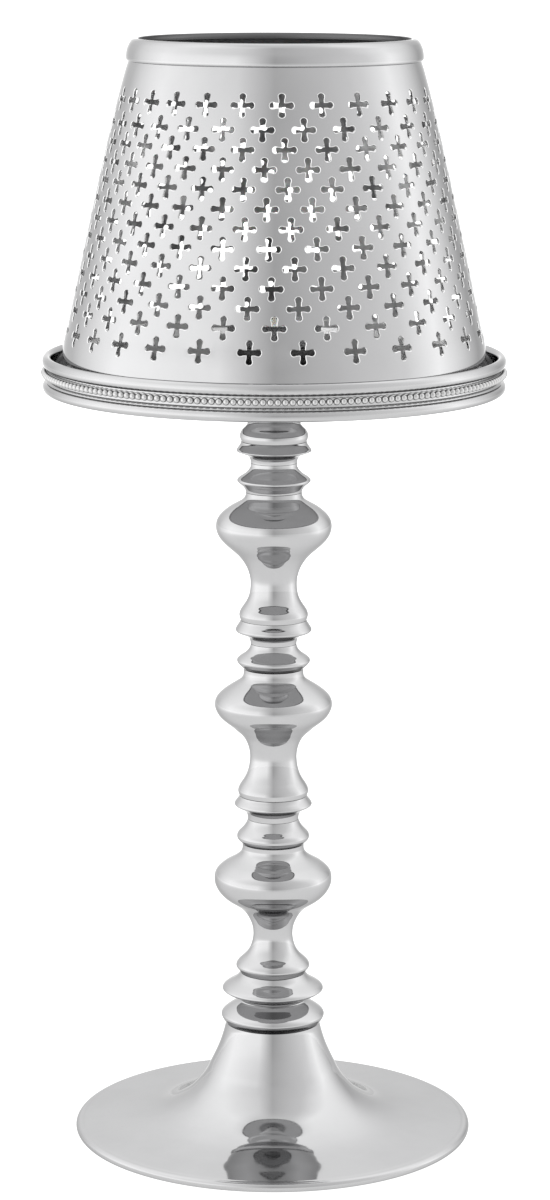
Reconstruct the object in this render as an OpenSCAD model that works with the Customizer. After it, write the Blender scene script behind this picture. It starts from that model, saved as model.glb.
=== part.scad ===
/* [Foot] */
// radius of the foot at its rolled edge, mm
foot_r = 82.6; // [80:0.1:86]
// wall thickness of the spun foot, mm
foot_wall = 1.4; // [1:0.1:1.6]
/* [Stem] */
// radius of the tie rod that holds the stack together, mm
rod_r = 3; // [2.5:0.1:3.1]
// radius of the bore through every stem piece, mm
bore_r = 3.3; // [3.2:0.05:4]
// width factor of the turned pieces of the stem
stem_k = 1; // [0.96:0.01:1.06]
/* [Tray] */
// radius of the tray at the outside of its rim, mm
tray_r = 93.9; // [93:0.1:98]
// number of beads round the tray
beads = 206; // [180:1:206]
// radius of one bead, mm
bead_r = 1.38; // [1.2:0.01:1.38]
/* [Shade] */
// radius of the shade at its lower edge, mm
shade_low_r = 85.4; // [85:0.1:87]
// radius of the cone at its upper edge, mm
shade_top_r = 58.5; // [57.5:0.1:59.5]
// sheet thickness of the cone, mm
sheet = 1; // [0.8:0.1:1.2]
// rows of cut crosses
rows = 13; // [7:1:13]
// crosses in one row
per_row = 26; // [20:1:26]
// width and height of one cross, mm
cross_span = 9.4; // [7:0.1:9.6]
// width of an arm of the cross, mm
cross_arm = 2.2; // [1.6:0.1:2.4]
/* [Candle] */
// radius of the tealight tin, mm
tin_r = 19; // [18.5:0.1:19.5]
// height of the tealight tin, mm
tin_h = 14; // [12:0.5:16]

/* [Hidden] */
metal = [0.82, 0.82, 0.83];
tray_dr = tray_r - 93.9;
foot_k = foot_r - 82.4;
tray_floor = 317;
ledge = 326.8;
shade_z0 = 326.4;
shade_z1 = 445.2;

// smooth curve through hand-set points, n steps to each span
function at(a, b, c, d, t) = 0.5 * ((2 * b) + (c - a) * t + (2 * a - 5 * b + 4 * c - d) * t * t + (3 * b - a - 3 * c + d) * t * t * t);
function smooth(p, n = 4) = let (m = len(p))
  concat([for (i = [0:m - 2]) for (j = [0:n - 1]) at(p[max(i - 1, 0)], p[i], p[i + 1], p[min(i + 2, m - 1)], j / n)], [p[m - 1]]);
// arc of an ellipse
function arc(cx, cy, a, b, t0, t1, n = 12) = [for (i = [0:n]) let (t = t0 + (t1 - t0) * i / n) [cx + a * cos(t), cy + b * sin(t)]];
// the same curve moved inwards by t
function side(p, t) = let (m = len(p)) [for (i = [0:m - 1]) let (d = p[min(i + 1, m - 1)] - p[max(i - 1, 0)], l = norm(d)) [p[i][0] + t * d[1] / l, p[i][1] - t * d[0] / l]];
function back(p) = [for (i = [len(p) - 1:-1:0]) p[i]];
function wide(p, k) = [for (q = p) [q[0] * k, q[1]]];

// a turned piece of the stem, bored through
module turned(p) {
  q = smooth(wide(p, stem_k));
  m = len(p) - 1;
  color(metal) rotate_extrude($fn = 96)
    polygon(concat([[bore_r, p[0][1]]], q, [[bore_r, p[m][1]]]));
}

module base_felt() {
  color([0.1, 0.22, 0.15]) cylinder(r = 78.6 + foot_k, h = 1.6, $fn = 96);
}

module base_weight() {
  s = smooth([[74, 2.9], [62, 3.7], [53, 4.9], [46.5, 6.5], [41, 8.8], [35, 12.2], [29, 16.2], [22, 20.5], [16, 26], [12.8, 34], [12, 44.5]]);
  color([0.25, 0.25, 0.26]) rotate_extrude($fn = 96)
    polygon(concat([[9, 1.6], [74, 1.6]], s, [[bore_r, 44.5], [bore_r, 11], [9, 11]]));
}

function foot_curve() = smooth([[79.2 + foot_k, 4.35], [72, 4.9], [62, 5.7], [53, 7], [46.5, 8.9], [41, 11.6], [35.3, 15.7], [30.4, 21],
  [27.7, 25], [25.9, 28.8], [24, 32.8], [22.3, 36.8], [20.9, 41], [20, 44.4], [19.6, 46.5]]);
module trumpet_foot() {
  c = foot_curve();
  rim = arc(80.5 + foot_k, 2.3, 1.9, 1.9, -90, 88, 16);
  color(metal) rotate_extrude($fn = 96)
    polygon(concat([[79.5 + foot_k, 0.4]], rim, c, [[bore_r, 46.5], [bore_r, 44.5], [19.5 - foot_wall, 44.5]],
      back(side([for (i = [3:len(c) - 8]) c[i]], -foot_wall)), [[79.3 + foot_k, 2.6], [79.3 + foot_k, 0.9]]));
}

module washer(z) {
  translate([0, 0, z]) difference() {
    cylinder(r = 6, h = 1.6, $fn = 64);
    translate([0, 0, -1]) cylinder(r = 3.2, h = 4, $fn = 64);
  }
}
module washers() {
  color([0.7, 0.7, 0.72]) { washer(9.4); washer(319); }
}
module spring_washer() {
  color([0.6, 0.6, 0.62]) translate([0, 0, 7.8]) difference() {
    cylinder(r = 5.3, h = 1.6, $fn = 64);
    translate([0, 0, -1]) cylinder(r = 3.2, h = 4, $fn = 64);
    rotate([0, 0, 20]) translate([2, -0.5, -1]) cube([5, 1, 4]);
  }
}
module nut(z) {
  translate([0, 0, z]) difference() {
    intersection() {
      cylinder(r = 10 / 2 / cos(30), h = 5, $fn = 6);
      union() {
        cylinder(r1 = 5, r2 = 6.2, h = 0.7, $fn = 64);
        translate([0, 0, 0.7]) cylinder(r = 6.2, h = 3.6, $fn = 64);
        translate([0, 0, 4.3]) cylinder(r1 = 6.2, r2 = 5, h = 0.7, $fn = 64);
      }
    }
    translate([0, 0, -1]) cylinder(r = rod_r, h = 7, $fn = 64);
  }
}
module nuts() {
  color([0.72, 0.72, 0.74]) { nut(2.8); nut(320.6); }
}
module tie_rod() {
  color([0.65, 0.65, 0.67]) {
    translate([0, 0, 2.2]) cylinder(r1 = rod_r - 0.5, r2 = rod_r, h = 0.5, $fn = 64);
    translate([0, 0, 2.7]) cylinder(r = rod_r, h = 323, $fn = 64);
    translate([0, 0, 325.7]) cylinder(r1 = rod_r, r2 = rod_r - 0.5, h = 0.5, $fn = 64);
  }
}

module foot_ring_lower() {
  turned([[19.6, 46.5], [20.5, 47.7], [21.3, 49.2], [21.4, 50.3], [20.6, 51.4], [19.1, 52.6], [17.1, 53.9], [15.2, 55], [14, 55.9],
    [13.6, 56.5]]);
}
module foot_ring_upper() {
  turned([[13.6, 56.5], [14.5, 57.4], [16.3, 58.4], [18.7, 59.5], [20.7, 60.6], [20.9, 61.5], [19.9, 62.6], [18, 63.8], [16.2, 64.9],
    [14.9, 66], [14, 67.1], [13.3, 68]]);
}
module baluster_lower() {
  turned([[13.3, 68], [14.2, 69.2], [15.2, 70.5], [15.2, 71.6], [14.5, 72.8], [13.2, 74.1], [11.7, 75.5], [10.3, 77.2], [9.2, 79.3],
    [8.5, 81.8], [8.2, 84.4], [8.4, 87], [9, 89.2], [9.9, 91.2], [11, 93.1], [12.5, 95], [14.6, 96.8], [17, 98.4], [19.5, 100.1],
    [21.6, 102], [23.2, 104.2], [24.2, 106.6], [24.4, 108.8], [24.1, 110.8], [23.3, 112.3], [21.9, 113.7], [19.9, 115.2],
    [17.8, 116.4], [15.8, 117.6], [14.3, 118.8], [13.3, 120], [12.8, 121.4], [12.8, 123.5]]);
}
module neck_ring_1() {
  turned([[12.8, 123.5], [13.8, 124.5], [14.8, 125.7], [15, 126.9], [14.5, 128.1], [13.4, 129.3], [12.3, 130.5], [11.4, 131.8],
    [10.8, 133], [10.5, 134]]);
}
module neck_ring_2() {
  turned([[10.5, 134], [10.7, 135.4], [11.3, 136.8], [12.5, 138], [14.2, 139], [15.8, 139.9], [16, 140.7], [15.4, 141.7], [14.7, 142.6],
    [14.2, 143.4], [14, 144]]);
}
module baluster_middle() {
  turned([[14, 144], [14.4, 145], [14.6, 146.2], [14.2, 147.6], [13.3, 149.2], [12.1, 151], [11, 153.2], [10.2, 155.8], [9.8, 158.4],
    [9.7, 161], [10.1, 163.8], [10.9, 166.2], [12.1, 168.4], [13.7, 170.2], [15.7, 172], [17.9, 173.9], [20.2, 175.7], [22.1, 177.5],
    [23.4, 179.4], [24.2, 181.6], [24.2, 183.6], [23.5, 185.4], [22.2, 187], [20.3, 188.6], [18, 190.2], [15.6, 191.7], [13.7, 193],
    [12.7, 194.3], [12.4, 195.8], [12.4, 197.5]]);
}
module neck_ring_3() {
  turned([[12.4, 197.5], [13.2, 198.4], [14.4, 199.6], [15.1, 200.8], [14.8, 201.8], [13.5, 202.9], [12, 203.9], [10.8, 205], [10, 206.1],
    [9.6, 207.2], [9.5, 208]]);
}
module neck_ring_4() {
  turned([[9.5, 208], [9.7, 209.2], [10.2, 210.4], [11.4, 211.4], [13.2, 212.3], [15.2, 213.1], [15.7, 214], [15.2, 215.1], [14.5, 216.2],
    [13.9, 217.2], [13.6, 218]]);
}
module baluster_upper() {
  turned([[13.6, 218], [14, 219], [14.2, 220.4], [13.7, 222], [12.6, 223.7], [11.4, 225.5], [10.4, 227.6], [9.8, 230], [9.6, 232.4],
    [9.7, 235], [10.3, 237.6], [11.3, 240.1], [12.7, 242.4], [14.4, 244.5], [16.4, 246.4], [18.6, 248.3], [20.6, 250.2],
    [22.2, 252.1], [23.3, 254.2], [23.8, 256.5], [23.6, 258.6], [22.9, 260.3], [21.6, 262], [19.7, 263.7], [17.4, 265.3],
    [15, 266.6], [13, 267.8], [11.9, 269.1], [11.5, 271]]);
}
module neck_ring_5() {
  turned([[11.5, 271], [11.9, 272.2], [12.7, 273.3], [13.8, 274.3], [14.9, 275.3], [15, 276.2], [14.1, 277.2], [12.5, 278.2],
    [11.2, 279.2], [10.2, 280.4], [9.6, 281.6], [9.5, 283]]);
}
module neck_ring_6() {
  turned([[9.5, 283], [9.7, 284.2], [10.4, 285.4], [11.8, 286.4], [13.8, 287.2], [15.3, 287.9], [15.2, 288.7], [14.5, 289.7],
    [13.8, 290.8], [13.4, 292]]);
}
module tray_seat() {
  turned([[13.4, 292], [13.8, 292.9], [14, 294], [13.8, 295.3], [13, 296.7], [11.7, 298], [10.7, 299.6], [10.4, 302], [11.2, 305.4],
    [13.8, 309.2], [17.6, 311.8], [21.6, 313.2], [23.8, 313.9], [24.2, 314.7], [24, 315.5]]);
}

module drip_tray() {
  color(metal) translate([0, 0, 0]) rotate_extrude($fn = 96)
    polygon([for (q = concat([[88.9, 315.5]], arc(91.6, 314.95, 2.2, 2.3, -160, 72, 16), [[92, 317.7], [91.5, 318.3], [91.5, 322.5]],
      arc(91.95, 325.2, 1.95, 2.4, -78, 180, 20), [[90, 319.6]], arc(87.4, 319.6, 2.6, 2.6, 0, -90, 8)))
      [q[0] + tray_dr, q[1]]]);
  color(metal) difference() {
    translate([0, 0, 315.5]) cylinder(r = 89.2 + tray_dr, h = 1.5, $fn = 96);
    translate([0, 0, 310]) cylinder(r = bore_r, h = 10, $fn = 64);
  }
}
module bead_ring() {
  color(metal) for (i = [0:beads - 1]) rotate([0, 0, i * 360 / beads]) {
    translate([91.52 + tray_dr, -(92 + tray_dr) * tan(180 / beads) - 0.02, 319.2]) cube([1.53, 2 * (92 + tray_dr) * tan(180 / beads) + 0.04, 2.6]);
    translate([92.95 + tray_dr, 0, 320.5]) sphere(r = bead_r, $fn = 24);
  }
}
module candle_cup() {
  color(metal) rotate_extrude($fn = 96) polygon(concat([[bore_r, tray_floor]], [[16.8, tray_floor]],
    smooth([[16.8, 317.2], [18.6, 317.6], [20.3, 318.6], [21.3, 320.2], [21.6, 322.2]]),
    arc(20.95, 331.2, 0.65, 0.65, 0, 180, 8), [[20.3, ledge], [8, ledge], [8, 319], [bore_r, 319]]));
}

module tealight_tin() {
  color([0.8, 0.8, 0.8]) rotate_extrude($fn = 96)
    polygon([[0, ledge], [tin_r - 0.6, ledge], [tin_r - 0.1, ledge + 0.4], [tin_r, ledge + 1], [tin_r, ledge + tin_h - 0.3], [tin_r + 0.25, ledge + tin_h],
      [tin_r - 0.4, ledge + tin_h], [tin_r - 0.4, ledge + 0.4], [0, ledge + 0.4]]);
}
module tealight_wax() {
  z = ledge + 0.4;
  color([0.96, 0.95, 0.9]) rotate_extrude($fn = 96)
    polygon([[6.2, z], [tin_r - 0.4, z], [tin_r - 0.4, z + tin_h - 1.6], [tin_r - 1.2, z + tin_h - 2.1], [8, z + tin_h - 2.4], [2, z + tin_h - 2],
      [0.7, z + tin_h - 1.8], [0.7, z + 3], [1.4, z + 3], [1.4, z + 0.5], [6.2, z + 0.5]]);
}
module wick_tab() {
  z = ledge + 0.4;
  color([0.7, 0.7, 0.7]) rotate_extrude($fn = 64)
    polygon([[0, z], [5.8, z], [5.8, z + 0.3], [1.2, z + 0.5], [1.2, z + 2.8], [0.75, z + 2.8], [0.75, z + 0.5], [0, z + 0.5]]);
}
module wick() {
  color([0.92, 0.9, 0.84]) translate([0, 0, ledge + 0.9]) cylinder(r = 0.65, h = tin_h + 1, $fn = 32);
}

function row_z(i) = i == 0 ? 430.8 : i == rows - 1 ? 338.2 : 421.6 - (i - 1) * (421.6 - 347.2) / (rows - 3);
// azimuth of a cross from the front: the rows step round a little, and the hand-set spacing drifts
function place(i, j) = let (t = 9.4 + (j + 0.5 * (i % 2)) * 360 / per_row + 0.41 * (i - 6)) t + 5.2 * sin(t - 134) + 2.2 * sin(2 * (t - 11)) - 7.8 * pow(max(0, sin(t - 128)), 3);
function cross_pts(s, w) = [for (a = [0, -90, -180, -270]) for (p = [[w, w], [s, w], [s, -w]]) [p[0] * cos(a) - p[1] * sin(a), p[0] * sin(a) + p[1] * cos(a)]];
// outer radius of the cone above its hem: a straight taper with a slight swell in its upper half
function cone_r(z) = let (k = (shade_z1 - z) / (shade_z1 - 339)) shade_top_r + (shade_low_r - 1.8 - shade_top_r) * k + sin(180 * pow(k, 0.65));
// the cone is turned in bands that meet between the rows
function bands(d) = [for (i = [rows - 3:-2:0]) let (z = (row_z(i) + row_z(i + 1)) / 2) [cone_r(z) - d, z]];
module cross_row(i) {
  if (i < rows) for (j = [0:per_row - 1]) rotate([0, 0, place(i, j) - 90]) translate([50, 0, row_z(i)]) rotate([0, 90, 0]) rotate([0, 0, 90])
    linear_extrude(40) polygon(cross_pts(cross_span / 2, cross_arm / 2));
}
module shade_cone() {
  color(metal) difference() {
    rotate_extrude($fn = 96) polygon(concat(
      [[shade_low_r - 0.5, shade_z0], [shade_low_r, shade_z0 + 0.8], [shade_low_r, 331.4], [shade_low_r - 1.8, 339]], bands(0), [[shade_top_r, shade_z1]],
      [[shade_top_r - sheet, shade_z1]], back(bands(sheet)), [[shade_low_r - 1.8 - sheet, 338.8], [shade_low_r - sheet, 331.4], [shade_low_r - sheet, shade_z0]]));
    cross_row(0); cross_row(1); cross_row(2); cross_row(3); cross_row(4); cross_row(5); cross_row(6);
    cross_row(7); cross_row(8); cross_row(9); cross_row(10); cross_row(11); cross_row(12);
  }
}
module shade_collar() {
  r = shade_top_r - sheet;
  color(metal) rotate_extrude($fn = 96)
    polygon(concat([[r - 0.1, 441.5], [r - 0.1, shade_z1], [shade_top_r, shade_z1]],
      smooth([[shade_top_r + 0.6, 445.3], [shade_top_r + 1, 446], [shade_top_r + 1, 447.6], [shade_top_r + 0.6, 449.8], [shade_top_r - 0.3, 452]]),
      smooth([[shade_top_r - 1.3, 453.4], [shade_top_r - 2.6, 454], [shade_top_r - 4, 453.8], [shade_top_r - 5, 452.9], [shade_top_r - 5.2, 451.6]]),
      [[r - 3.6, 451], [r - 2.6, 451.2], [r - 1.6, 450.3], [r - 1.2, 448.6], [r - 1.1, 441.5]]));
}
module shade_foot_ring() {
  r = shade_low_r - sheet;
  color(metal) rotate_extrude($fn = 96)
    polygon([[r - 2.9, tray_floor], [r - 1.7, tray_floor], [r - 1.7, 325.6], [r - 0.3, 327.6], [r, 328.2], [r, 331.4], [r - 1.1, 331.4], [r - 1.1, 328.6], [r - 2.9, 326.2]]);
}

base_felt();
base_weight();
trumpet_foot();
washers();
spring_washer();
nuts();
tie_rod();
foot_ring_lower();
foot_ring_upper();
baluster_lower();
neck_ring_1();
neck_ring_2();
baluster_middle();
neck_ring_3();
neck_ring_4();
baluster_upper();
neck_ring_5();
neck_ring_6();
tray_seat();
drip_tray();
bead_ring();
candle_cup();
tealight_tin();
tealight_wax();
wick_tab();
wick();
shade_cone();
shade_collar();
shade_foot_ring();
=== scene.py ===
import math

import bpy
import numpy as np
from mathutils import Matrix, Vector, geometry


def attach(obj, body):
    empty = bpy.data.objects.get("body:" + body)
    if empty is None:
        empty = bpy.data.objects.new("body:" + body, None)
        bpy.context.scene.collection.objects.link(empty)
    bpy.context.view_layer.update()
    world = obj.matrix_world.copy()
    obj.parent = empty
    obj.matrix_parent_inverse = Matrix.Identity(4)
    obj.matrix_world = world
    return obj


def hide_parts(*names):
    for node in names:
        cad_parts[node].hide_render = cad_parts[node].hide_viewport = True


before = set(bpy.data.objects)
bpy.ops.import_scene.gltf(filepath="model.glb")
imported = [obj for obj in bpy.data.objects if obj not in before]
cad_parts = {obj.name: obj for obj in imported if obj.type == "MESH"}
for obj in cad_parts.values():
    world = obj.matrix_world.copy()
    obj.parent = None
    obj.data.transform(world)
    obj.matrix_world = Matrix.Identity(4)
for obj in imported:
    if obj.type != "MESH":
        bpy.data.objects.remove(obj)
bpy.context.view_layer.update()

MM = 0.001


# ---------------------------------------------------------------- node helpers
def new_mat(name):
    m = bpy.data.materials.new(name)
    m.use_nodes = True
    t = m.node_tree
    b = next(n for n in t.nodes if n.type == "BSDF_PRINCIPLED")
    return m, t, b


def add(t, kind, **props):
    n = t.nodes.new(kind)
    for k, v in props.items():
        setattr(n, k, v)
    return n


def set_in(n, **vals):
    for k, v in vals.items():
        n.inputs[k.replace("_", " ")].default_value = v
    return n


def ramp(t, src, stops):
    r = add(t, "ShaderNodeValToRGB")
    e = r.color_ramp.elements
    while len(e) > 1:
        e.remove(e[-1])
    for i, (p, c) in enumerate(stops):
        k = e[0] if i == 0 else e.new(p)
        k.position = p
        k.color = c if len(c) == 4 else (*c, 1)
    t.links.new(src, r.inputs[0])
    return r


def polished(name, base=(0.42, 0.42, 0.424), rough=0.03, spread=0.04, wave=0.0, grain=900.0, edge=0.55, sheet=0.0):
    """Polished plated metal: faint hand-polish streaks, a few dull patches and a slight unevenness of the surface."""
    m, t, b = new_mat(name)
    co = add(t, "ShaderNodeTexCoord")
    b.inputs["Metallic"].default_value = 1.0
    b.inputs["Specular Tint"].default_value = (edge, edge, edge, 1)
    n1 = set_in(add(t, "ShaderNodeTexNoise"), Scale=38.0, Detail=4.0, Roughness=0.6)
    t.links.new(co.outputs["Object"], n1.inputs["Vector"])
    mp = add(t, "ShaderNodeMapping")
    mp.inputs["Scale"].default_value = (1.0, 1.0, 14.0)
    t.links.new(co.outputs["Object"], mp.inputs["Vector"])
    n2 = set_in(add(t, "ShaderNodeTexNoise"), Scale=grain / 8.0, Detail=3.0, Roughness=0.55)
    t.links.new(mp.outputs[0], n2.inputs["Vector"])
    mx = add(t, "ShaderNodeMath", operation="MULTIPLY")
    t.links.new(n1.outputs["Fac"], mx.inputs[0])
    t.links.new(n2.outputs["Fac"], mx.inputs[1])
    rr = add(t, "ShaderNodeMapRange")
    set_in(rr, From_Min=0.12, From_Max=0.42, To_Min=rough, To_Max=rough + spread)
    t.links.new(mx.outputs[0], rr.inputs["Value"])
    t.links.new(rr.outputs[0], b.inputs["Roughness"])
    d = tuple(c * 0.965 for c in base)
    c = ramp(t, n1.outputs["Fac"], [(0.35, d), (0.6, base)])
    t.links.new(c.outputs[0], b.inputs["Base Color"])
    bp = set_in(add(t, "ShaderNodeBump"), Strength=0.03, Distance=0.00002)
    t.links.new(n2.outputs["Fac"], bp.inputs["Height"])
    if wave:
        n3 = set_in(add(t, "ShaderNodeTexNoise"), Scale=26.0, Detail=1.0)
        t.links.new(co.outputs["Object"], n3.inputs["Vector"])
        b2 = set_in(add(t, "ShaderNodeBump"), Strength=wave, Distance=0.001)
        t.links.new(n3.outputs["Fac"], b2.inputs["Height"])
        t.links.new(b2.outputs[0], bp.inputs["Normal"])
        if sheet:
            # sheet bent round a cone keeps long upright waves
            m4 = add(t, "ShaderNodeMapping")
            m4.inputs["Scale"].default_value = (1.0, 1.0, 0.3)
            t.links.new(co.outputs["Object"], m4.inputs["Vector"])
            n4 = set_in(add(t, "ShaderNodeTexNoise"), Scale=44.0, Detail=1.5)
            t.links.new(m4.outputs[0], n4.inputs["Vector"])
            b3 = set_in(add(t, "ShaderNodeBump"), Strength=sheet, Distance=0.001)
            t.links.new(n4.outputs["Fac"], b3.inputs["Height"])
            t.links.new(b3.outputs[0], b2.inputs["Normal"])
    t.links.new(bp.outputs[0], b.inputs["Normal"])
    return m


def dull(name, base, rough, metallic=0.0, scale=220.0, contrast=0.25, bump=0.2, dist=0.0001):
    m, t, b = new_mat(name)
    co = add(t, "ShaderNodeTexCoord")
    b.inputs["Metallic"].default_value = metallic
    n1 = set_in(add(t, "ShaderNodeTexNoise"), Scale=scale, Detail=6.0, Roughness=0.6)
    t.links.new(co.outputs["Object"], n1.inputs["Vector"])
    lo = tuple(c * (1 - contrast) for c in base)
    hi = tuple(min(1, c * (1 + contrast)) for c in base)
    c = ramp(t, n1.outputs["Fac"], [(0.3, lo), (0.7, hi)])
    t.links.new(c.outputs[0], b.inputs["Base Color"])
    rr = add(t, "ShaderNodeMapRange")
    set_in(rr, From_Min=0.3, From_Max=0.7, To_Min=rough, To_Max=min(1, rough + 0.12))
    t.links.new(n1.outputs["Fac"], rr.inputs["Value"])
    t.links.new(rr.outputs[0], b.inputs["Roughness"])
    bp = set_in(add(t, "ShaderNodeBump"), Strength=bump, Distance=dist)
    t.links.new(n1.outputs["Fac"], bp.inputs["Height"])
    t.links.new(bp.outputs[0], b.inputs["Normal"])
    return m


PLATE = polished("plate_stem")
PLATE_FOOT = polished("plate_foot", rough=0.045, spread=0.05, wave=0.012)
PLATE_SHADE = polished("plate_shade", rough=0.04, spread=0.05, wave=0.02, sheet=0.06)
PLATE_TRAY = polished("plate_tray", rough=0.06, spread=0.07)
BEAD = polished("plate_beads", base=(0.46, 0.46, 0.46), rough=0.07, spread=0.06)
# painted highlight: cut edges are plated lighter than the sheet, so each cross shows a bright outline
CUT_EDGE_PAINTED_HIGHLIGHT = polished("cut_edge_painted_highlight", base=(0.62, 0.62, 0.62), rough=0.14, spread=0.1)
# painted shade: the inside of the collar is made near black to stand for the shade's dark hollow
COLLAR_IN_PAINTED_SHADE = polished("collar_inside_painted_shade", base=(0.11, 0.11, 0.112), rough=0.3, spread=0.12, edge=0.3)


def inside_mat():
    """The inside of the shade: satin metal in uneven patches from dark grey to nearly white, with painted shade on one
    side (negative X), and painted light low down that turns to painted shade higher up.
    """
    m = polished("inside_painted_light_shade", rough=0.3, spread=0.16, edge=0.8)
    t = m.node_tree
    b = next(n for n in t.nodes if n.type == "BSDF_PRINCIPLED")
    co = add(t, "ShaderNodeTexCoord")
    sp = add(t, "ShaderNodeSeparateXYZ")
    t.links.new(co.outputs["Object"], sp.inputs[0])
    n = set_in(add(t, "ShaderNodeTexNoise"), Scale=45.0, Detail=3.0, Roughness=0.6)
    t.links.new(co.outputs["Object"], n.inputs["Vector"])
    # painted shade: the side at negative X is made darker and the side at positive X lighter
    side = add(t, "ShaderNodeMapRange")
    set_in(side, From_Min=-0.07, From_Max=0.07, To_Min=-0.06, To_Max=0.06)
    t.links.new(sp.outputs["X"], side.inputs["Value"])
    # painted light and shade by height: lighter low in the shade, darker towards its top
    painted_light_by_height = add(t, "ShaderNodeMapRange")
    set_in(painted_light_by_height, From_Min=0.335, From_Max=0.42, To_Min=0.13, To_Max=-0.12)
    t.links.new(sp.outputs["Z"], painted_light_by_height.inputs["Value"])
    s = add(t, "ShaderNodeMath", operation="ADD")
    t.links.new(n.outputs["Fac"], s.inputs[0])
    t.links.new(side.outputs[0], s.inputs[1])
    s2 = add(t, "ShaderNodeMath", operation="ADD")
    t.links.new(s.outputs[0], s2.inputs[0])
    t.links.new(painted_light_by_height.outputs[0], s2.inputs[1])
    # the ramp runs from dark grey to nearly white, carrying the painted light and shade above
    c = ramp(t, s2.outputs[0], [(0.3, (0.18, 0.18, 0.183)), (0.44, (0.4, 0.4, 0.403)), (0.56, (0.88, 0.88, 0.88)), (0.75, (0.98, 0.98, 0.98))])
    t.links.new(c.outputs[0], b.inputs["Base Color"])
    return m


INSIDE_PAINTED_LIGHT_SHADE = inside_mat()
# painted shade: the candle cup inside the shade is made near black, far darker than the plating elsewhere
CUP_PAINTED_SHADE = polished("cup_painted_shade", base=(0.1, 0.1, 0.1), rough=0.12, spread=0.1, edge=0.2)
STEEL = polished("steel_hardware", base=(0.38, 0.385, 0.39), rough=0.28, spread=0.18)
IRON = dull("iron_cast", (0.045, 0.045, 0.048), 0.62, metallic=0.6, scale=420, bump=0.5, dist=0.0004)
TIN = polished("tin_pressed", base=(0.34, 0.34, 0.345), rough=0.2, spread=0.15)
COTTON = dull("wick_cotton", (0.82, 0.79, 0.72), 0.85, scale=2600, contrast=0.15, bump=0.6, dist=0.0002)


def felt_mat():
    m, t, b = new_mat("felt_green")
    co = add(t, "ShaderNodeTexCoord")
    n1 = set_in(add(t, "ShaderNodeTexNoise"), Scale=1500.0, Detail=6.0, Roughness=0.7)
    n2 = set_in(add(t, "ShaderNodeTexNoise"), Scale=60.0, Detail=3.0)
    for n in (n1, n2):
        t.links.new(co.outputs["Object"], n.inputs["Vector"])
    mx = add(t, "ShaderNodeMix", data_type="RGBA", blend_type="MULTIPLY")
    mx.inputs["Factor"].default_value = 0.6
    a = ramp(t, n1.outputs["Fac"], [(0.3, (0.012, 0.05, 0.03)), (0.75, (0.05, 0.16, 0.1))])
    c = ramp(t, n2.outputs["Fac"], [(0.3, (0.6, 0.6, 0.6)), (0.7, (1, 1, 1))])
    t.links.new(a.outputs[0], mx.inputs["A"])
    t.links.new(c.outputs[0], mx.inputs["B"])
    t.links.new(mx.outputs["Result"], b.inputs["Base Color"])
    b.inputs["Roughness"].default_value = 0.95
    b.inputs["Sheen Weight"].default_value = 0.5
    bp = set_in(add(t, "ShaderNodeBump"), Strength=0.7, Distance=0.0003)
    t.links.new(n1.outputs["Fac"], bp.inputs["Height"])
    t.links.new(bp.outputs[0], b.inputs["Normal"])
    return m


def wax_mat():
    m, t, b = new_mat("wax_white")
    co = add(t, "ShaderNodeTexCoord")
    n1 = set_in(add(t, "ShaderNodeTexNoise"), Scale=180.0, Detail=5.0)
    v = set_in(add(t, "ShaderNodeTexVoronoi"), Scale=260.0)
    for n in (n1, v):
        t.links.new(co.outputs["Object"], n.inputs["Vector"])
    c = ramp(t, n1.outputs["Fac"], [(0.3, (0.86, 0.83, 0.76)), (0.7, (0.93, 0.915, 0.87))])
    t.links.new(c.outputs[0], b.inputs["Base Color"])
    b.inputs["Roughness"].default_value = 0.38
    b.inputs["Subsurface Weight"].default_value = 0.35
    b.inputs["Subsurface Scale"].default_value = 0.003
    bp = set_in(add(t, "ShaderNodeBump"), Strength=0.25, Distance=0.0002)
    t.links.new(v.outputs["Distance"], bp.inputs["Height"])
    t.links.new(bp.outputs[0], b.inputs["Normal"])
    return m


FELT = felt_mat()
WAX = wax_mat()


# ---------------------------------------------------------------- mesh helpers
def link(name, verts, faces, mats, face_mat=None, sharp=35.0, normals=None):
    me = bpy.data.meshes.new(name)
    me.from_pydata([tuple(v) for v in verts], [], faces)
    me.update()
    for mt in mats if isinstance(mats, (list, tuple)) else [mats]:
        me.materials.append(mt)
    if face_mat is not None:
        me.polygons.foreach_set("material_index", np.asarray(face_mat, dtype=np.int32))
    me.shade_smooth()
    if sharp is not None:
        me.set_sharp_from_angle(angle=math.radians(sharp))
    if normals is not None:
        me.normals_split_custom_set_from_vertices([tuple(n) for n in normals])
    o = bpy.data.objects.new(name, me)
    bpy.context.scene.collection.objects.link(o)
    return o


def catmull(p, n):
    p = np.asarray(p, float)
    m = len(p)
    out = []
    for i in range(m - 1):
        a, b, c, d = p[max(i - 1, 0)], p[i], p[i + 1], p[min(i + 2, m - 1)]
        for j in range(n):
            t = j / n
            out.append(0.5 * ((2 * b) + (c - a) * t + (2 * a - 5 * b + 4 * c - d) * t * t + (3 * b - a - 3 * c + d) * t ** 3))
    out.append(p[-1])
    return [tuple(q) for q in out]


def arc(cx, cy, a, b, t0, t1, n=12):
    return [(cx + a * math.cos(math.radians(t0 + (t1 - t0) * i / n)), cy + b * math.sin(math.radians(t0 + (t1 - t0) * i / n))) for i in range(n + 1)]


def side(p, t):
    out = []
    for i in range(len(p)):
        a, b = p[max(i - 1, 0)], p[min(i + 1, len(p) - 1)]
        d = (b[0] - a[0], b[1] - a[1])
        l = math.hypot(*d)
        out.append((p[i][0] + t * d[1] / l, p[i][1] - t * d[0] / l))
    return out


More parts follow.
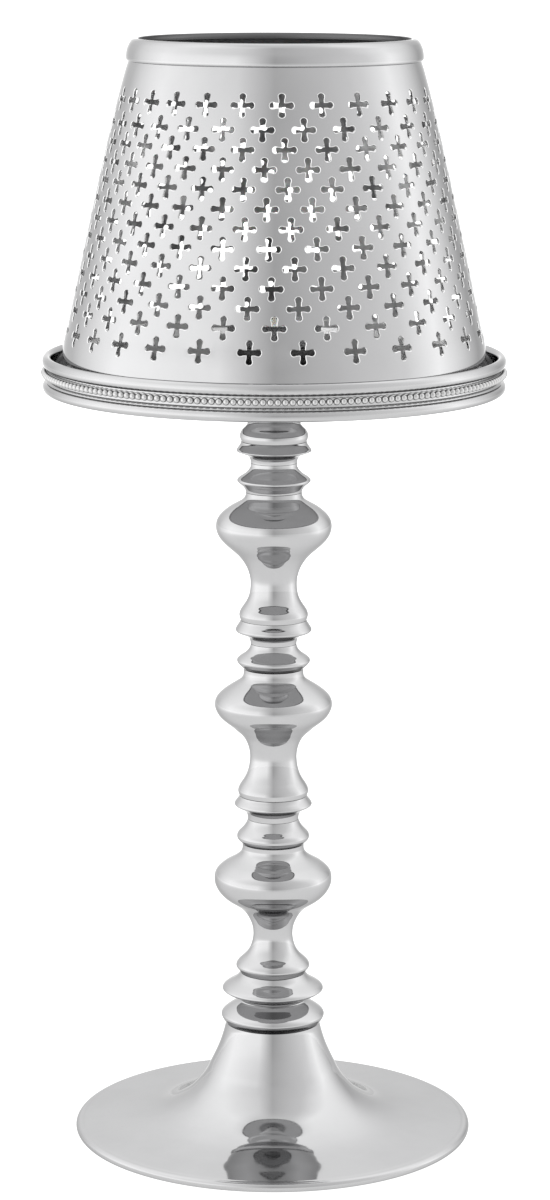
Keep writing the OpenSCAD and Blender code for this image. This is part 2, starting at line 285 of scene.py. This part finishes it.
def ring_mesh(profile, seg=288, closed=True, flute=None):
    """Turns a profile (r, z in mm) about Z. closed joins its last point to its first."""
    pr = [profile[0]]
    for q in profile[1:]:
        if math.hypot(q[0] - pr[-1][0], q[1] - pr[-1][1]) > 1e-4:
            pr.append(q)
    if closed and math.hypot(pr[0][0] - pr[-1][0], pr[0][1] - pr[-1][1]) < 1e-4:
        pr.pop()
    verts, rows = [], []
    for r, z in pr:
        if r < 1e-6:
            rows.append([len(verts)])
            verts.append((0, 0, z * MM))
        else:
            rows.append(list(range(len(verts), len(verts) + seg)))
            for k in range(seg):
                a = 2 * math.pi * k / seg
                rr = r if flute is None else flute(r, z, a)
                verts.append((rr * MM * math.cos(a), rr * MM * math.sin(a), z * MM))
    faces = []
    n = len(rows)
    for i in range(n if closed else n - 1):
        A, B = rows[i], rows[(i + 1) % n]
        if len(A) == 1 and len(B) == 1:
            continue
        for k in range(seg):
            k2 = (k + 1) % seg
            if len(A) == 1:
                faces.append((A[0], B[k2], B[k]))
            elif len(B) == 1:
                faces.append((A[k], A[k2], B[0]))
            else:
                faces.append((A[k], A[k2], B[k2], B[k]))
    return verts, faces


def turned(name, body, node, profile, mat, seg=288, flute=None, sharp=35.0, closed=True):
    v, f = ring_mesh(profile, seg, closed, flute)
    o = link(name, v, f, mat, sharp=sharp)
    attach(o, body)
    if node:
        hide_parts(node)
    return o


BORE = 3.3
N = 8


def stem_piece(name, node, pts):
    """A turned piece whose two ends have the small broken edges that a lathe leaves."""
    q = catmull(pts, N)
    (r0, z0), (r1, z1) = q[0], q[-1]
    q[0] = (r0, z0 + 0.06)
    q[-1] = (r1, z1 - 0.06)
    prof = [(BORE, z0), (r0 - 0.25, z0)] + q + [(r1 - 0.25, z1), (BORE, z1)]
    return turned(name, "stand", node, prof, PLATE)


# ---------------------------------------------------------------- foot
foot_curve = catmull([(79.4, 4.35), (72, 4.9), (62, 5.7), (53, 7), (46.5, 8.9), (41, 11.6), (35.3, 15.7), (30.4, 21),
                      (27.7, 25), (25.9, 28.8), (24, 32.8), (22.3, 36.8), (20.9, 41), (20, 44.4), (19.6, 46.5)], N)
rim = arc(80.7, 2.3, 1.9, 1.9, -90, 88, 24)
inner = side(foot_curve[8:-16], -1.4)[::-1]
turned("foot_shell", "stand", "trumpet_foot",
       [(79.7, 0.4)] + rim + [(79.95, 4.12)] + foot_curve + [(BORE, 46.5), (BORE, 44.5), (18.1, 44.5)] + inner + [(79.5, 2.6), (79.5, 0.9)],
       PLATE_FOOT, seg=384, sharp=40)

stem_piece("ring_foot_low", "foot_ring_lower", [(19.6, 46.5), (20.5, 47.7), (21.3, 49.2), (21.4, 50.3), (20.6, 51.4), (19.1, 52.6), (17.1, 53.9), (15.2, 55), (14, 55.9),
    (13.6, 56.5)])
stem_piece("ring_foot_high", "foot_ring_upper", [(13.6, 56.5), (14.5, 57.4), (16.3, 58.4), (18.7, 59.5), (20.7, 60.6), (20.9, 61.5), (19.9, 62.6), (18, 63.8), (16.2, 64.9),
    (14.9, 66), (14, 67.1), (13.3, 68)])
stem_piece("baluster_low", "baluster_lower", [(13.3, 68), (14.2, 69.2), (15.2, 70.5), (15.2, 71.6), (14.5, 72.8), (13.2, 74.1), (11.7, 75.5), (10.3, 77.2), (9.2, 79.3),
    (8.5, 81.8), (8.2, 84.4), (8.4, 87), (9, 89.2), (9.9, 91.2), (11, 93.1), (12.5, 95), (14.6, 96.8), (17, 98.4), (19.5, 100.1),
    (21.6, 102), (23.2, 104.2), (24.2, 106.6), (24.4, 108.8), (24.1, 110.8), (23.3, 112.3), (21.9, 113.7), (19.9, 115.2),
    (17.8, 116.4), (15.8, 117.6), (14.3, 118.8), (13.3, 120), (12.8, 121.4), (12.8, 123.5)])
stem_piece("ring_1", "neck_ring_1", [(12.8, 123.5), (13.8, 124.5), (14.8, 125.7), (15, 126.9), (14.5, 128.1), (13.4, 129.3), (12.3, 130.5), (11.4, 131.8),
    (10.8, 133), (10.5, 134)])
stem_piece("ring_2", "neck_ring_2", [(10.5, 134), (10.7, 135.4), (11.3, 136.8), (12.5, 138), (14.2, 139), (15.8, 139.9), (16, 140.7), (15.4, 141.7), (14.7, 142.6),
    (14.2, 143.4), (14, 144)])
stem_piece("baluster_mid", "baluster_middle", [(14, 144), (14.4, 145), (14.6, 146.2), (14.2, 147.6), (13.3, 149.2), (12.1, 151), (11, 153.2), (10.2, 155.8), (9.8, 158.4),
    (9.7, 161), (10.1, 163.8), (10.9, 166.2), (12.1, 168.4), (13.7, 170.2), (15.7, 172), (17.9, 173.9), (20.2, 175.7), (22.1, 177.5),
    (23.4, 179.4), (24.2, 181.6), (24.2, 183.6), (23.5, 185.4), (22.2, 187), (20.3, 188.6), (18, 190.2), (15.6, 191.7), (13.7, 193),
    (12.7, 194.3), (12.4, 195.8), (12.4, 197.5)])
stem_piece("ring_3", "neck_ring_3", [(12.4, 197.5), (13.2, 198.4), (14.4, 199.6), (15.1, 200.8), (14.8, 201.8), (13.5, 202.9), (12, 203.9), (10.8, 205), (10, 206.1),
    (9.6, 207.2), (9.5, 208)])
stem_piece("ring_4", "neck_ring_4", [(9.5, 208), (9.7, 209.2), (10.2, 210.4), (11.4, 211.4), (13.2, 212.3), (15.2, 213.1), (15.7, 214), (15.2, 215.1), (14.5, 216.2),
    (13.9, 217.2), (13.6, 218)])
stem_piece("baluster_high", "baluster_upper", [(13.6, 218), (14, 219), (14.2, 220.4), (13.7, 222), (12.6, 223.7), (11.4, 225.5), (10.4, 227.6), (9.8, 230), (9.6, 232.4),
    (9.7, 235), (10.3, 237.6), (11.3, 240.1), (12.7, 242.4), (14.4, 244.5), (16.4, 246.4), (18.6, 248.3), (20.6, 250.2),
    (22.2, 252.1), (23.3, 254.2), (23.8, 256.5), (23.6, 258.6), (22.9, 260.3), (21.6, 262), (19.7, 263.7), (17.4, 265.3),
    (15, 266.6), (13, 267.8), (11.9, 269.1), (11.5, 271)])
stem_piece("ring_5", "neck_ring_5", [(11.5, 271), (11.9, 272.2), (12.7, 273.3), (13.8, 274.3), (14.9, 275.3), (15, 276.2), (14.1, 277.2), (12.5, 278.2),
    (11.2, 279.2), (10.2, 280.4), (9.6, 281.6), (9.5, 283)])
stem_piece("ring_6", "neck_ring_6", [(9.5, 283), (9.7, 284.2), (10.4, 285.4), (11.8, 286.4), (13.8, 287.2), (15.3, 287.9), (15.2, 288.7), (14.5, 289.7),
    (13.8, 290.8), (13.4, 292)])
stem_piece("seat_of_tray", "tray_seat", [(13.4, 292), (13.8, 292.9), (14, 294), (13.8, 295.3), (13, 296.7), (11.7, 298), (10.7, 299.6), (10.4, 302), (11.2, 305.4),
    (13.8, 309.2), (17.6, 311.8), (21.6, 313.2), (23.8, 313.9), (24.2, 314.7), (24, 315.5)])

# ---------------------------------------------------------------- tray, beads, cup
turned("tray", "stand", "drip_tray",
       [(BORE, 315.5), (88.9, 315.5)] + arc(91.6, 314.95, 2.2, 2.3, -160, 72, 28) + [(92, 317.7), (91.5, 318.3), (91.5, 322.5)]
       + arc(91.95, 325.2, 1.95, 2.4, -78, 180, 36) + [(90, 319.6)] + arc(87.4, 319.6, 2.6, 2.6, 0, -90, 12) + [(60, 317), (BORE, 317)],
       PLATE_TRAY, seg=384)


def bead_band():
    n, r, R, zc = 206, 1.38, 92.95, 320.5
    v, f = ring_mesh([(91.53, 319.2), (92.2, 319.2), (92.35, 319.4), (92.35, 321.6), (92.2, 321.8), (91.53, 321.8)], 412)
    rings, segs = 9, 14
    for i in range(n):
        a = 2 * math.pi * i / n
        k = len(v)
        for p in range(rings + 1):
            th = math.pi * p / rings
            for q in range(segs if 0 < p < rings else 1):
                ph = 2 * math.pi * q / segs
                x, y, z = r * math.sin(th) * math.cos(ph), r * math.sin(th) * math.sin(ph), r * math.cos(th)
                X = R + x
                v.append(((X * math.cos(a) - y * math.sin(a)) * MM, (X * math.sin(a) + y * math.cos(a)) * MM, (zc + z) * MM))
        idx = [[k]] + [list(range(k + 1 + (p - 1) * segs, k + 1 + p * segs)) for p in range(1, rings)] + [[k + 1 + (rings - 1) * segs]]
        for p in range(rings):
            A, B = idx[p], idx[p + 1]
            for q in range(segs):
                q2 = (q + 1) % segs
                if len(A) == 1:
                    f.append((A[0], B[q], B[q2]))
                elif len(B) == 1:
                    f.append((A[q], B[0], A[q2]))
                else:
                    f.append((A[q], B[q], B[q2], A[q2]))
    o = link("beads", v, f, BEAD, sharp=50)
    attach(o, "stand")
    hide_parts("bead_ring")


bead_band()

# the cup's near-black plating is painted shade
turned("cup", "stand", "candle_cup",
       [(BORE, 317), (16.8, 317)] + catmull([(16.8, 317.2), (18.6, 317.6), (20.3, 318.6), (21.3, 320.2), (21.6, 322.2)], 6)
       + arc(20.95, 331.2, 0.65, 0.65, 0, 180, 12) + [(20.3, 326.8), (8, 326.8), (8, 319), (BORE, 319)], CUP_PAINTED_SHADE, seg=192)

# ---------------------------------------------------------------- tealight
L0 = 326.8


def fluted(r, z, a):
    if r > 18.7 and L0 + 0.8 < z < L0 + 13.2:
        return r - 0.12 + 0.1 * math.cos(a * 60)
    return r


turned("tin", "tealight", "tealight_tin",
       [(0, L0), (18.3, L0), (18.8, L0 + 0.25), (19, L0 + 0.9), (19, L0 + 1.3), (19, L0 + 7), (19, L0 + 12.6), (19, L0 + 13.4), (19.12, L0 + 13.75), (19.2, L0 + 13.95), (19.05, L0 + 14),
        (18.75, L0 + 13.9), (18.6, L0 + 13.6), (18.6, L0 + 0.4), (0, L0 + 0.4)], TIN, seg=480, flute=fluted)
turned("wax", "tealight", "tealight_wax",
       [(6.2, L0 + 0.4), (18.55, L0 + 0.4), (18.55, L0 + 12.2)] + catmull([(18.5, L0 + 12.5), (17.9, L0 + 12.15), (16.4, L0 + 11.95), (12, L0 + 11.85), (7, L0 + 11.9), (3, L0 + 12.2), (1.4, L0 + 12.55), (0.75, L0 + 12.7)], 6)
       + [(0.7, L0 + 3.4), (1.4, L0 + 3.4), (1.4, L0 + 0.9), (6.2, L0 + 0.9)], WAX, seg=128, sharp=50)


def wick_piece():
    """A braided wick: three strands twisted together."""
    v, f = [], []
    z0, z1, turns, seg = L0 + 0.95, L0 + 15.6, 5.0, 8
    steps = 70
    for s in range(3):
        base = len(v)
        for i in range(steps + 1):
            t = i / steps
            a = 2 * math.pi * (turns * t + s / 3)
            cx, cy, z = 0.3 * math.cos(a), 0.3 * math.sin(a), z0 + (z1 - z0) * t
            rad = 0.33 * (1 if t < 0.97 else 0.8)
            for q in range(seg):
                b = 2 * math.pi * q / seg
                v.append(((cx + rad * math.cos(b)) * MM, (cy + rad * math.sin(b)) * MM, z * MM))
        for i in range(steps):
            for q in range(seg):
                q2 = (q + 1) % seg
                A = base + i * seg
                f.append((A + q, A + q2, A + seg + q2, A + seg + q))
        f.append(tuple(base + q for q in reversed(range(seg))))
        f.append(tuple(base + steps * seg + q for q in range(seg)))
    o = link("wick_braid", v, f, COTTON, sharp=60)
    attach(o, "tealight")
    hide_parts("wick")


wick_piece()

# ---------------------------------------------------------------- shade
SHADE_LOW, SHADE_TOP, SHEET = 85.4, 58.5, 1.0
Z0, Z1, ZB = 326.4, 445.2, 339.0


def cone_r(z):
    """Outer radius of the cone above its hem: a straight taper with a slight swell in its upper half."""
    k = (Z1 - z) / (Z1 - ZB)
    return SHADE_TOP + (SHADE_LOW - 1.8 - SHADE_TOP) * k + math.sin(math.pi * k ** 0.65)


HEM = [(SHADE_LOW, 331.4), (SHADE_LOW - 0.65, 335.6)]
RISE = [(cone_r(z), z) for z in [ZB, 345, 351, 357, 363, 369, 375, 381, 387, 393, 399, 405, 411, 417, 423, 429, 434, 438, 442, Z1]]
OUT = [(SHADE_LOW - 0.35, Z0), (SHADE_LOW - 0.08, Z0 + 0.25), (SHADE_LOW, Z0 + 0.8)] + HEM + RISE
INN = [(SHADE_LOW - 0.75, Z0), (SHADE_LOW - 0.95, Z0 + 0.25), (SHADE_LOW - 1, Z0 + 0.8)] + [(q[0] - SHEET, q[1]) for q in HEM + RISE]
ROWS, PER = 13, 26


def r_at(line, z):
    return float(np.interp(z, [q[1] for q in line], [q[0] for q in line]))


def row_z(i):
    return 430.8 if i == 0 else 338.2 if i == ROWS - 1 else 421.6 - (i - 1) * (421.6 - 347.2) / (ROWS - 3)


def place(i, j):
    """Azimuth of a cross, degrees from the front towards the right. The hand-set pattern drifts a little round the cone."""
    th = 9.4 + (j + 0.5 * (i % 2)) * 360 / PER + 0.41 * (i - 6)
    back = max(0.0, math.sin(math.radians(th - 128))) ** 3
    return th + 5.2 * math.sin(math.radians(th - 134)) + 2.2 * math.sin(math.radians(2 * (th - 11))) - 7.8 * back


def cross_outline():
    pts = []
    for k in range(4):
        ca, sa = math.cos(-k * math.pi / 2), math.sin(-k * math.pi / 2)
        arm = [(0.98, 0.98), (1.3, 0.92), (2.5, 1.0), (3.0, 1.2)] + arc(3.4, 0, 1.3, 1.34, 72, -72, 10) + [(3.0, -1.2), (2.5, -1.0), (1.3, -0.92)]
        pts += [(x * ca - y * sa, x * sa + y * ca) for x, y in arm]
    return pts[::-1]


def grow(p, d):
    n = len(p)
    out = []
    for i in range(n):
        a, b = p[i - 1], p[(i + 1) % n]
        t = (b[0] - a[0], b[1] - a[1])
        l = math.hypot(*t)
        out.append((p[i][0] + d * t[1] / l, p[i][1] - d * t[0] / l))
    return out


def perforated_cone():
    base = cross_outline()
    wide = grow(base, 0.26)
    tilt = math.atan((SHADE_LOW - 1.8 - SHADE_TOP) / (Z1 - ZB))
    ct, st = math.cos(tilt), math.sin(tilt)
    K = 70.0

    def to_uv(outline, i, j, shift=0.0):
        zc, f0 = row_z(i), math.radians(place(i, j)) + shift
        f0 = (f0 + math.pi) % (2 * math.pi) - math.pi if shift == 0 else f0
        out = []
        for a, b in outline:
            z = zc + b * ct
            out.append((f0 + a / r_at(OUT, z), z))
        return out

    verts, faces, mats, norms = [], [], [], []

    def surface(line, outline, outward):
        pts, polys, lines = [], [], []
        zs = [q[1] for q in line]
        m = 260
        lo, hi = line[0][1], line[-1][1]
        rect = [(-math.pi + 2 * math.pi * k / m, lo) for k in range(m + 1)]
        left = [(math.pi, z) for z in np.linspace(lo, hi, 30)[1:]]
        top = [(math.pi - 2 * math.pi * k / m, hi) for k in range(1, m + 1)]
        right = [(-math.pi, z) for z in np.linspace(hi, lo, 30)[1:-1]]
        outer = rect + left + top + right
        pts += outer
        polys.append(list(range(len(outer))))
        for z in zs[1:-1]:
            s = len(pts)
            pts += [(-math.pi + 2 * math.pi * k / m, z) for k in range(m + 1)]
            lines.extend((s + k, s + k + 1) for k in range(m))
        for z in np.linspace(343, Z1 - 3, 27):
            pts += [(-math.pi + 2 * math.pi * (k + 0.5) / m, float(z)) for k in range(m)]
        for i in range(ROWS):
            for j in range(PER):
                o = to_uv(outline, i, j)
                us = [q[0] for q in o]
                copies = [o]
                if max(us) > math.pi:
                    copies.append([(u - 2 * math.pi, z) for u, z in o])
                if min(us) < -math.pi:
                    copies.append([(u + 2 * math.pi, z) for u, z in o])
                for c in copies:
                    s = len(pts)
                    pts.extend(c)
                    polys.append(list(range(s, s + len(c))))
        co = [Vector((u * K, z)) for u, z in pts]
        v, e, f, ov, oe, of = geometry.delaunay_2d_cdt(co, lines, polys, 1, 1e-5, True)
        k0 = len(verts)
        for p in v:
            u, z = p[0] / K, p[1]
            r = r_at(line, z)
            verts.append((r * math.sin(u) * MM, -r * math.cos(u) * MM, z * MM))
            dz = 0.4
            slope = (r_at(line, min(z + dz, hi)) - r_at(line, max(z - dz, lo))) / (min(z + dz, hi) - max(z - dz, lo))
            if z < 335:
                # the hem's normals lean up as if the sheet were rolled a little outwards
                slope = -0.2
            n = Vector((math.sin(u), -math.cos(u), -slope)).normalized()
            norms.append(n if outward else -n)
        for tri, src in zip(f, of):
            if src != [0]:
                continue
            a, b, c = (k0 + q for q in tri)
            faces.append((a, b, c) if outward else (c, b, a))
            mats.append(0 if outward else 1)
        return k0

    surface(OUT, wide, True)
    surface(INN, base, False)

    # chamfer and wall of every cut, in a lighter plating that paints a highlight round each cross
    for i in range(ROWS):
        for j in range(PER):
            rings = []
            for outline, depth in ((wide, 0.0), (base, 0.2), (base, 1.0)):
                ring = []
                for u, z in to_uv(outline, i, j):
                    r = r_at(OUT, z) if depth < 1 else r_at(INN, z)
                    if 0 < depth < 1:
                        r -= depth
                    ring.append((r * math.sin(u) * MM, -r * math.cos(u) * MM, z * MM))
                rings.append(ring)
            n = len(base)
            for A, B in ((rings[0], rings[1]), (rings[1], rings[2])):
                k0 = len(verts)
                verts.extend(A)
                verts.extend(B)
                nn = []
                for q in range(n):
                    e1 = Vector(A[(q + 1) % n]) - Vector(A[q - 1])
                    e2 = Vector(B[q]) - Vector(A[q])
                    w = e2.cross(e1)
                    nn.append(w.normalized() if w.length > 0 else Vector((0, 0, 1)))
                norms.extend(nn)
                norms.extend(nn)
                for q in range(n):
                    q2 = (q + 1) % n
                    faces.append((k0 + q, k0 + n + q, k0 + n + q2, k0 + q2))
                    mats.append(2)
    # closing rings at the lower and upper edge, also in the lighter plating of painted highlight
    for (ra, rb, z, up) in ((OUT[0][0], INN[0][0], Z0, False), (OUT[-1][0], INN[-1][0], Z1, True)):
        k0 = len(verts)
        m = 260
        for r in (ra, rb):
            for k in range(m):
                u = -math.pi + 2 * math.pi * k / m
                verts.append((r * math.sin(u) * MM, -r * math.cos(u) * MM, z * MM))
                norms.append(Vector((0, 0, 1 if up else -1)))
        for k in range(m):
            k2 = (k + 1) % m
            q = (k0 + k, k0 + k2, k0 + m + k2, k0 + m + k)
            faces.append(q if up else q[::-1])
            mats.append(2)
    o = link("cone_pierced", verts, faces, [PLATE_SHADE, INSIDE_PAINTED_LIGHT_SHADE, CUT_EDGE_PAINTED_HIGHLIGHT], mats, sharp=None, normals=norms)
    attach(o, "shade")
    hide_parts("shade_cone")
    return o


perforated_cone()

r = SHADE_TOP - SHEET
collar_out = ([(r - 0.1, 441.5), (r - 0.1, Z1), (SHADE_TOP, Z1)]
              + catmull([(SHADE_TOP + 0.6, 445.3), (SHADE_TOP + 1, 446), (SHADE_TOP + 1, 447.6), (SHADE_TOP + 0.6, 449.8), (SHADE_TOP - 0.3, 452)], N)
              + catmull([(SHADE_TOP - 1.3, 453.4), (SHADE_TOP - 2.6, 454), (SHADE_TOP - 4, 453.8)], N))
collar_in = (catmull([(SHADE_TOP - 4, 453.8), (SHADE_TOP - 5, 452.9), (SHADE_TOP - 5.2, 451.6)], N)
             + [(r - 3.6, 451), (r - 2.6, 451.2), (r - 1.6, 450.3), (r - 1.2, 448.6), (r - 1.1, 441.5), (r - 0.1, 441.5)])
turned("collar_rim", "shade", "shade_collar", collar_out, PLATE_SHADE, seg=288, closed=False)
# the lining's near-black plating is painted shade
turned("collar_lining", "shade", "shade_collar", collar_in, COLLAR_IN_PAINTED_SHADE, seg=288, closed=False)
r = SHADE_LOW - SHEET
# the foot ring wears the inside material with its painted light and shade
turned("shade_foot", "shade", "shade_foot_ring",
       [(r - 2.9, 317), (r - 1.7, 317), (r - 1.7, 325.6), (r - 0.3, 327.6), (r - 0.02, 328.2), (r - 0.02, 331.4), (r - 1.1, 331.4), (r - 1.1, 328.6), (r - 2.9, 326.2)], INSIDE_PAINTED_LIGHT_SHADE, seg=288)

# ---------------------------------------------------------------- materials of the CAD pieces that stay
for node, mat in (("base_felt", FELT), ("base_weight", IRON), ("washers", STEEL), ("spring_washer", STEEL),
                  ("nuts", STEEL), ("tie_rod", STEEL), ("wick_tab", STEEL)):
    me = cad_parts[node].data
    if me.materials:
        for k in range(len(me.materials)):
            me.materials[k] = mat
    else:
        me.materials.append(mat)


# ---------------------------------------------------------------- studio
def emission_of(name, build):
    m = bpy.data.materials.new(name)
    m.use_nodes = True
    t = m.node_tree
    for n in list(t.nodes):
        t.nodes.remove(n)
    out = add(t, "ShaderNodeOutputMaterial")
    em = add(t, "ShaderNodeEmission")
    t.links.new(em.outputs[0], out.inputs[0])
    build(t, em)
    return m


# plain soft studio: a broad main panel on the left, a side panel on the right, a gap for the camera at 0 degrees
# and dimmer back corners. Degrees from the camera's side towards the right, near the floor and higher up.
WALLS = (
    (5.0, [(-180, .9), (-140, .8), (-95, .95), (-30, .9), (0, .6), (30, .7), (75, .8), (100, .95), (145, .7), (180, .9)]),
    (40.0, [(-180, .85), (-95, .9), (-30, .8), (0, .65), (60, .75), (100, .9), (180, .85)]),
)
ZENITH = 0.75
METAL = 0.42
PART = 3.0


def power(v):
    """Radiance that polished metal of this scene shows at display brightness v."""
    return v ** 2.2 / METAL


def math_node(t, op, a, b=None):
    n = add(t, "ShaderNodeMath", operation=op)
    for k, q in enumerate((a, b)):
        if q is None:
            continue
        if hasattr(q, "is_output"):
            t.links.new(q, n.inputs[k])
        else:
            n.inputs[k].default_value = q
    return n.outputs[0]


def azimuth(t, sp):
    """0 to 1 for -180 to 180 degrees from the camera's side towards the right."""
    a = math_node(t, "ARCTAN2", sp.outputs["X"], math_node(t, "MULTIPLY", sp.outputs["Y"], -1.0))
    return math_node(t, "ADD", math_node(t, "DIVIDE", a, 2 * math.pi), 0.5)


def smooth_step(t, src, lo, hi):
    m = add(t, "ShaderNodeMapRange", interpolation_type="SMOOTHSTEP")
    m.inputs["From Min"].default_value = lo
    m.inputs["From Max"].default_value = hi
    t.links.new(src, m.inputs["Value"])
    return m.outputs[0]


def mixed(t, fac, a, b):
    m = add(t, "ShaderNodeMix", data_type="RGBA")
    t.links.new(fac, m.inputs["Factor"])
    for k, q in (("A", a), ("B", b)):
        if hasattr(q, "is_output"):
            t.links.new(q, m.inputs[k])
        else:
            m.inputs[k].default_value = (q, q, q, 1)
    return m.outputs["Result"]


def wall_ring(t, az, stops):
    # a ramp holds colours from 0 to 1, so it carries a part of the radiance
    return ramp(t, az, [((d + 180) / 360, (power(v) / PART,) * 3) for d, v in stops]).outputs[0]


def tent_build(t, em):
    co = add(t, "ShaderNodeTexCoord")
    sp = add(t, "ShaderNodeSeparateXYZ")
    t.links.new(co.outputs["Object"], sp.inputs[0])
    az = azimuth(t, sp)
    rad = math_node(t, "SQRT", math_node(t, "ADD", math_node(t, "MULTIPLY", sp.outputs["X"], sp.outputs["X"]), math_node(t, "MULTIPLY", sp.outputs["Y"], sp.outputs["Y"])))
    el = math_node(t, "DIVIDE", math_node(t, "ARCTAN2", math_node(t, "SUBTRACT", sp.outputs["Z"], 0.25), rad), math.pi / 180)
    col = wall_ring(t, az, WALLS[0][1])
    for k in range(1, len(WALLS)):
        col = mixed(t, smooth_step(t, el, WALLS[k - 1][0], WALLS[k][0]), col, wall_ring(t, az, WALLS[k][1]))
    col = mixed(t, smooth_step(t, el, 62.0, 84.0), col, power(ZENITH) / PART)
    t.links.new(col, em.inputs["Color"])
    em.inputs["Strength"].default_value = PART


def studio():
    R, seg, rings = 5.0, 96, 32
    v, f = [], []
    for i in range(rings + 1):
        e = -0.06 + (math.pi / 2 + 0.06) * i / rings
        for k in range(seg):
            a = 2 * math.pi * k / seg
            v.append((R * math.cos(e) * math.cos(a), R * math.cos(e) * math.sin(a), R * math.sin(e)))
    for i in range(rings):
        for k in range(seg):
            k2 = (k + 1) % seg
            f.append((i * seg + k, (i + 1) * seg + k, (i + 1) * seg + k2, i * seg + k2))
    tent = link("studio_tent", v, f, emission_of("studio_wall", tent_build), sharp=None)

    m, t, b = new_mat("studio_floor")
    co = add(t, "ShaderNodeTexCoord")
    sp = add(t, "ShaderNodeSeparateXYZ")
    t.links.new(co.outputs["Object"], sp.inputs[0])
    rad = math_node(t, "SQRT", math_node(t, "ADD", math_node(t, "MULTIPLY", sp.outputs["X"], sp.outputs["X"]), math_node(t, "MULTIPLY", sp.outputs["Y"], sp.outputs["Y"])))
    # painted light: the floor glows, dimmer near the object and following the walls' brightness further out
    col = mixed(t, smooth_step(t, rad, 0.25, 1.3), power(0.75) / PART, wall_ring(t, azimuth(t, sp), WALLS[0][1]))
    n1 = set_in(add(t, "ShaderNodeTexNoise"), Scale=3.0, Detail=2.0)
    t.links.new(co.outputs["Object"], n1.inputs["Vector"])
    c = ramp(t, n1.outputs["Fac"], [(0.3, (0.21, 0.21, 0.21)), (0.7, (0.23, 0.23, 0.23))])
    t.links.new(c.outputs[0], b.inputs["Base Color"])
    b.inputs["Roughness"].default_value = 0.9
    b.inputs["Specular IOR Level"].default_value = 0.1
    t.links.new(col, b.inputs["Emission Color"])
    b.inputs["Emission Strength"].default_value = PART * 0.85
    s = 4.99
    floor = link("studio_floor", [(-s, -s, 0), (s, -s, 0), (s, s, 0), (-s, s, 0)], [(0, 1, 2, 3)], m, sharp=None)

    w = bpy.data.worlds.new("studio_world") if bpy.context.scene.world is None else bpy.context.scene.world
    bpy.context.scene.world = w
    w.use_nodes = True
    bg = next((n for n in w.node_tree.nodes if n.type == "BACKGROUND"), None)
    if bg:
        bg.inputs["Color"].default_value = (0.9, 0.9, 0.9, 1)
        bg.inputs["Strength"].default_value = 1.0


studio()

cam = bpy.data.cameras.new("camera")
cam.sensor_fit = "AUTO"
cam.sensor_width = 36.0
cam.lens = 36.0 * 3678.5 / 1200.0
cam.clip_start, cam.clip_end = 0.05, 30.0
co = bpy.data.objects.new("camera", cam)
co.location = (-0.0001, -1.48, 0.514)
co.rotation_mode = "XYZ"
co.rotation_euler = (math.radians(90 - 11.012), math.radians(-0.13), 0)
bpy.context.scene.collection.objects.link(co)
bpy.context.scene.camera = co
bpy.context.scene.view_settings.view_transform = "Standard"
bpy.context.scene.view_settings.look = "None"
